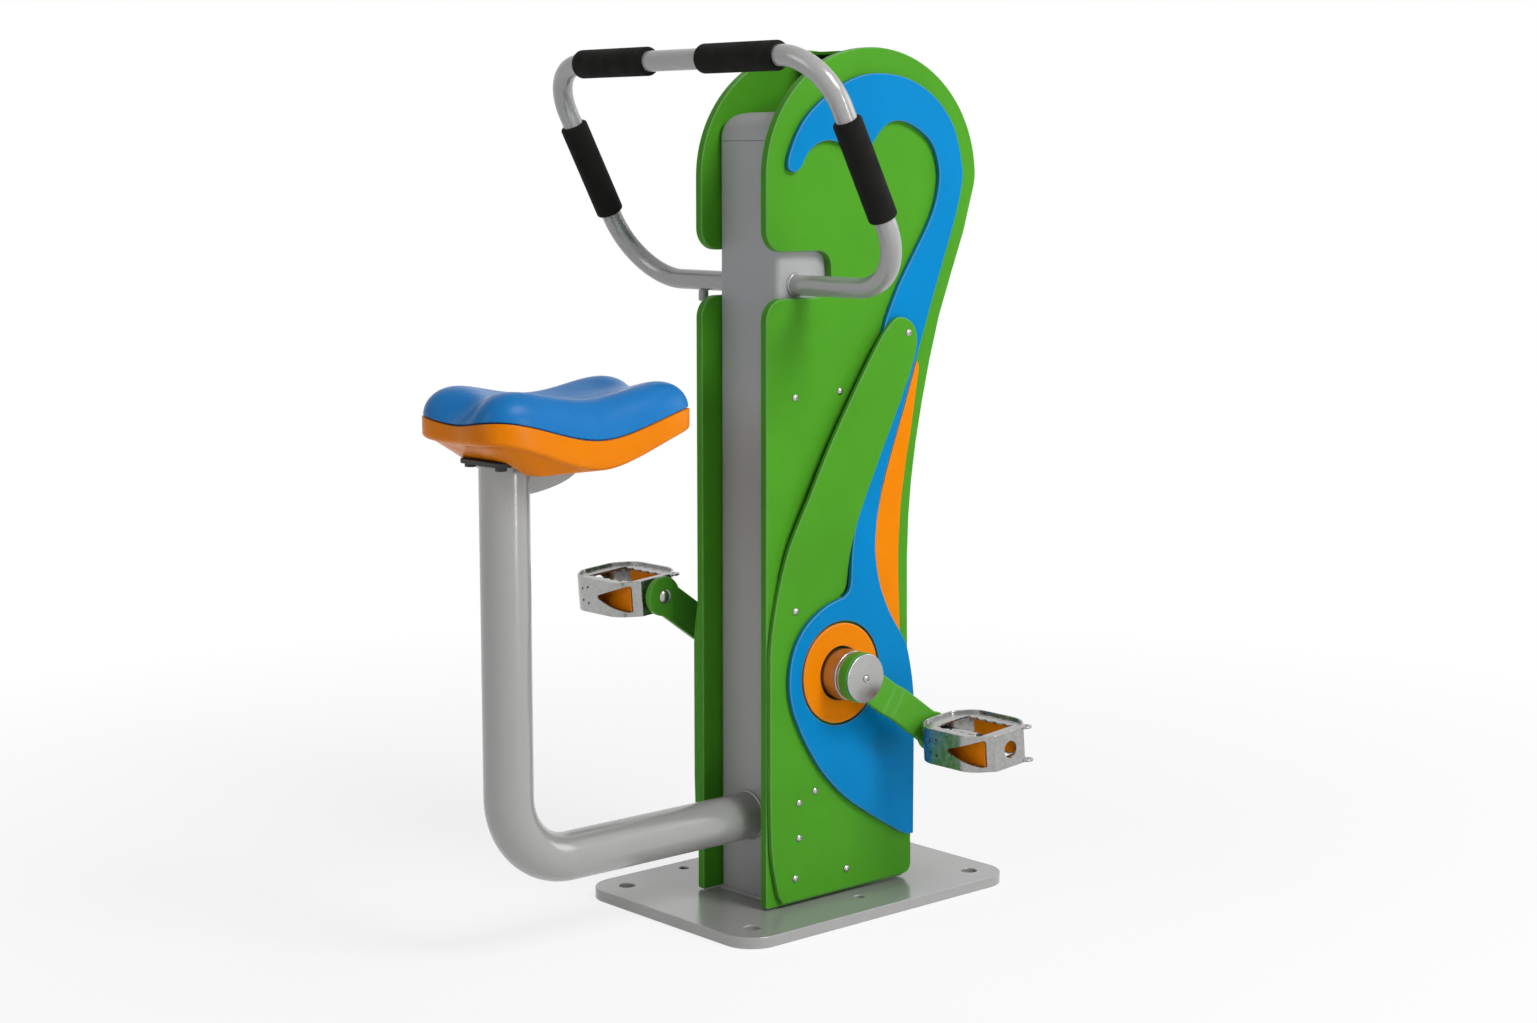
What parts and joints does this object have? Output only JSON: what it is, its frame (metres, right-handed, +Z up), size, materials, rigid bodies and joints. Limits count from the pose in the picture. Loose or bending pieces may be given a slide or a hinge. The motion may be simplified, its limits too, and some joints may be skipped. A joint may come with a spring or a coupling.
{
  "type": "outdoor pedal exercise station",
  "caption": "Children's outdoor pedal station with a cast seat on a bent post, a closed-loop handlebar with foam grips, decorated side panels and a pedal crank.",
  "frame": {"origin": "centre of the mast on the underside of the base plate", "axes": "+Z up, +Y the way the rider faces (from the seat to the mast), +X to the rider's right"},
  "size_m": [0.5986, 0.8609, 1.1925],
  "materials": {
    "bright_steel": "bright zinc plate",
    "cage_grey": "bead-blasted",
    "crank_green": "gloss powder coat",
    "dark_rubber": "matt",
    "foam_black": "matt foam",
    "leaf_orange": "smooth, slightly glossy solid-coloured sheet",
    "mast_grey": "satin powder coat",
    "panel_green": "smooth, slightly glossy solid-coloured sheet",
    "reflector_orange": "clear gloss",
    "seat_blue": "smooth gloss",
    "seat_orange": "smooth gloss",
    "swirl_blue": "smooth, slightly glossy solid-coloured sheet",
    "tube_grey": "satin silver-grey powder coat"
  },
  "bodies": {
    "frame": {"base_plate": "tube_grey", "bearing_cup_left": "bright_steel", "bearing_cup_right": "bright_steel", "bearing_tube": "mast_grey", "crank_bearing_left": "bright_steel", "crank_bearing_right": "bright_steel", "grip_leg_left": "foam_black", "grip_leg_right": "foam_black", "grip_top_left": "foam_black", "grip_top_right": "foam_black", "handlebar_peg": "mast_grey", "handlebar_tube": "tube_grey", "hub_disc_left": "leaf_orange", "hub_disc_right": "leaf_orange", "leaf_sheet_left": "leaf_orange", "leaf_sheet_right": "leaf_orange", "mast": "mast_grey", "mast_cap": "mast_grey", "panel_bolt_1": "bright_steel", "panel_bolt_2": "bright_steel", "panel_bolt_3": "bright_steel", "panel_bolt_4": "bright_steel", "panel_bolt_5": "bright_steel", "panel_bolt_6": "bright_steel", "panel_bolt_7": "bright_steel", "panel_bolt_8": "bright_steel", "panel_sheet_left": "panel_green", "panel_sheet_right": "panel_green", "rear_cover": "panel_green", "seat_gusset": "tube_grey", "seat_mount_plate": "mast_grey", "seat_post": "tube_grey", "seat_shell": "seat_orange", "seat_top": "seat_blue", "swirl_sheet_left": "swirl_blue", "swirl_sheet_right": "swirl_blue", "tip_bolt": "bright_steel", "tip_spacer": "bright_steel", "tongue_sheet_left": "panel_green", "tongue_sheet_right": "panel_green"},
    "crank": {"crank_arm_left": "crank_green", "crank_arm_right": "crank_green", "crank_shaft": "bright_steel", "hub_cap_left": "bright_steel", "hub_cap_right": "bright_steel", "hub_washer_left": "bright_steel", "hub_washer_right": "bright_steel", "pedal_spindle_left": "bright_steel", "pedal_spindle_right": "bright_steel"},
    "pedal_right": {"dust_cap_right": "dark_rubber", "pedal_barrel_right": "bright_steel", "pedal_cage_right": "cage_grey", "reflector_front_right": "reflector_orange", "reflector_rear_right": "reflector_orange"},
    "pedal_left": {"dust_cap_left": "dark_rubber", "pedal_barrel_left": "bright_steel", "pedal_cage_left": "cage_grey", "reflector_front_left": "reflector_orange", "reflector_rear_left": "reflector_orange"}
  },
  "joints": [
    {"name": "crank_spin", "type": "hinge", "parent": "frame", "child": "crank", "pos_m": [0, 0.032, 0.336], "axis": [1, 0, 0], "continuous": true},
    {"name": "pedal_right_spin", "type": "hinge", "parent": "crank", "child": "pedal_right", "pos_m": [0.2, 0.16716, 0.24136], "axis": [1, 0, 0], "continuous": true},
    {"name": "pedal_left_spin", "type": "hinge", "parent": "crank", "child": "pedal_left", "pos_m": [-0.2, -0.10316, 0.43064], "axis": [1, 0, 0], "continuous": true}
  ]
}
